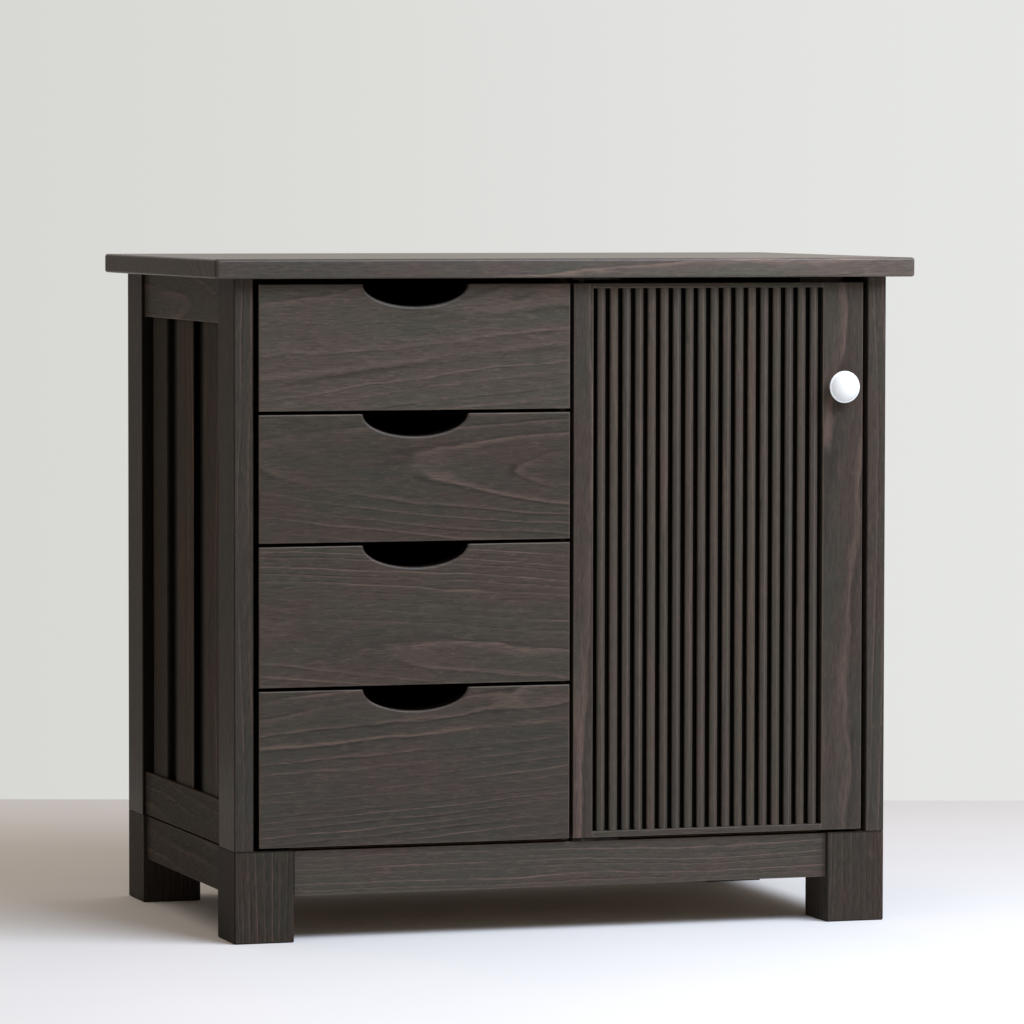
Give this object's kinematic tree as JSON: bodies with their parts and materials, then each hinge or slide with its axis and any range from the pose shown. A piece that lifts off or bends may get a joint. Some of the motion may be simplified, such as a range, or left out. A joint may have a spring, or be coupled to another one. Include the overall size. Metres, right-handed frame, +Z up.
{
  "type": "small chest of drawers with cupboard",
  "caption": "Small low chest on a footed base, with graduated drawers that have half-moon finger pulls beside a reeded cupboard door with a round white knob.",
  "frame": {"origin": "on the floor, in the middle of the chest's overall box, knob included", "axes": "+Z up, front towards -Y, +X to the right of someone facing the front"},
  "size_m": [0.642, 0.398, 0.592],
  "materials": {
    "stained_wood": "dark espresso stain under satin oil, fine straight and cathedral grain with redder streaks",
    "inner_wood": "thin dark stain, matt",
    "stained_ply": "dark stained plywood, matt",
    "dowel_wood": "plain beech",
    "knob_ceramic": "white glazed ceramic, high gloss",
    "steel": "zinc plated, satin",
    "catch_body": "brown moulded plastic, matt"
  },
  "bodies": {
    "carcass": {"back_panel": "stained_ply", "back_rail_lower": "stained_wood", "back_rail_upper": "stained_wood", "back_screws": "steel", "base_rail_back": "stained_wood", "base_rail_front": "stained_wood", "base_rail_left": "stained_wood", "base_rail_right": "stained_wood", "bottom_panel": "stained_ply", "corner_dowels": "dowel_wood", "door_pivots": "steel", "drawer_runners": "inner_wood", "foot_back_left": "stained_wood", "foot_back_right": "stained_wood", "foot_front_left": "stained_wood", "foot_front_right": "stained_wood", "magnetic_catch": "catch_body", "partition": "inner_wood", "post_back_left": "stained_wood", "post_back_right": "stained_wood", "post_front_left": "stained_wood", "post_front_right": "stained_wood", "shelf": "inner_wood", "shelf_pins": "steel", "side_boards_left": "stained_wood", "side_boards_right": "stained_wood", "side_liner_left": "stained_ply", "side_liner_right": "stained_ply", "side_rail_lower_left": "stained_wood", "side_rail_lower_right": "stained_wood", "side_rail_upper_left": "stained_wood", "side_rail_upper_right": "stained_wood", "top_board": "stained_wood", "top_cleats": "inner_wood", "top_screws": "steel"},
    "drawer_1": {"drawer_1_back": "inner_wood", "drawer_1_bottom": "stained_ply", "drawer_1_front": "stained_wood", "drawer_1_sides": "inner_wood"},
    "drawer_2": {"drawer_2_back": "inner_wood", "drawer_2_bottom": "stained_ply", "drawer_2_front": "stained_wood", "drawer_2_sides": "inner_wood"},
    "drawer_3": {"drawer_3_back": "inner_wood", "drawer_3_bottom": "stained_ply", "drawer_3_front": "stained_wood", "drawer_3_sides": "inner_wood"},
    "drawer_4": {"drawer_4_back": "inner_wood", "drawer_4_bottom": "stained_ply", "drawer_4_front": "stained_wood", "drawer_4_sides": "inner_wood"},
    "door": {"door_backing": "stained_ply", "door_edge_strips": "stained_wood", "door_knob": "knob_ceramic", "door_left_stile": "stained_wood", "door_reeded_panel": "stained_wood", "door_right_stile": "stained_wood", "knob_screw": "steel", "strike_plate": "steel"}
  },
  "joints": [
    {"name": "drawer_1_slide", "type": "slide", "parent": "carcass", "child": "drawer_1", "axis": [0, -1, 0], "range_m": [0, 0.21]},
    {"name": "drawer_2_slide", "type": "slide", "parent": "carcass", "child": "drawer_2", "axis": [0, -1, 0], "range_m": [0, 0.21]},
    {"name": "drawer_3_slide", "type": "slide", "parent": "carcass", "child": "drawer_3", "axis": [0, -1, 0], "range_m": [0, 0.21]},
    {"name": "drawer_4_slide", "type": "slide", "parent": "carcass", "child": "drawer_4", "axis": [0, -1, 0], "range_m": [0, 0.21]},
    {"name": "door_hinge", "type": "hinge", "parent": "carcass", "child": "door", "pos_m": [0.0169, -0.171, 0.0825], "axis": [0, 0, -1], "range_deg": [0, 90]}
  ]
}
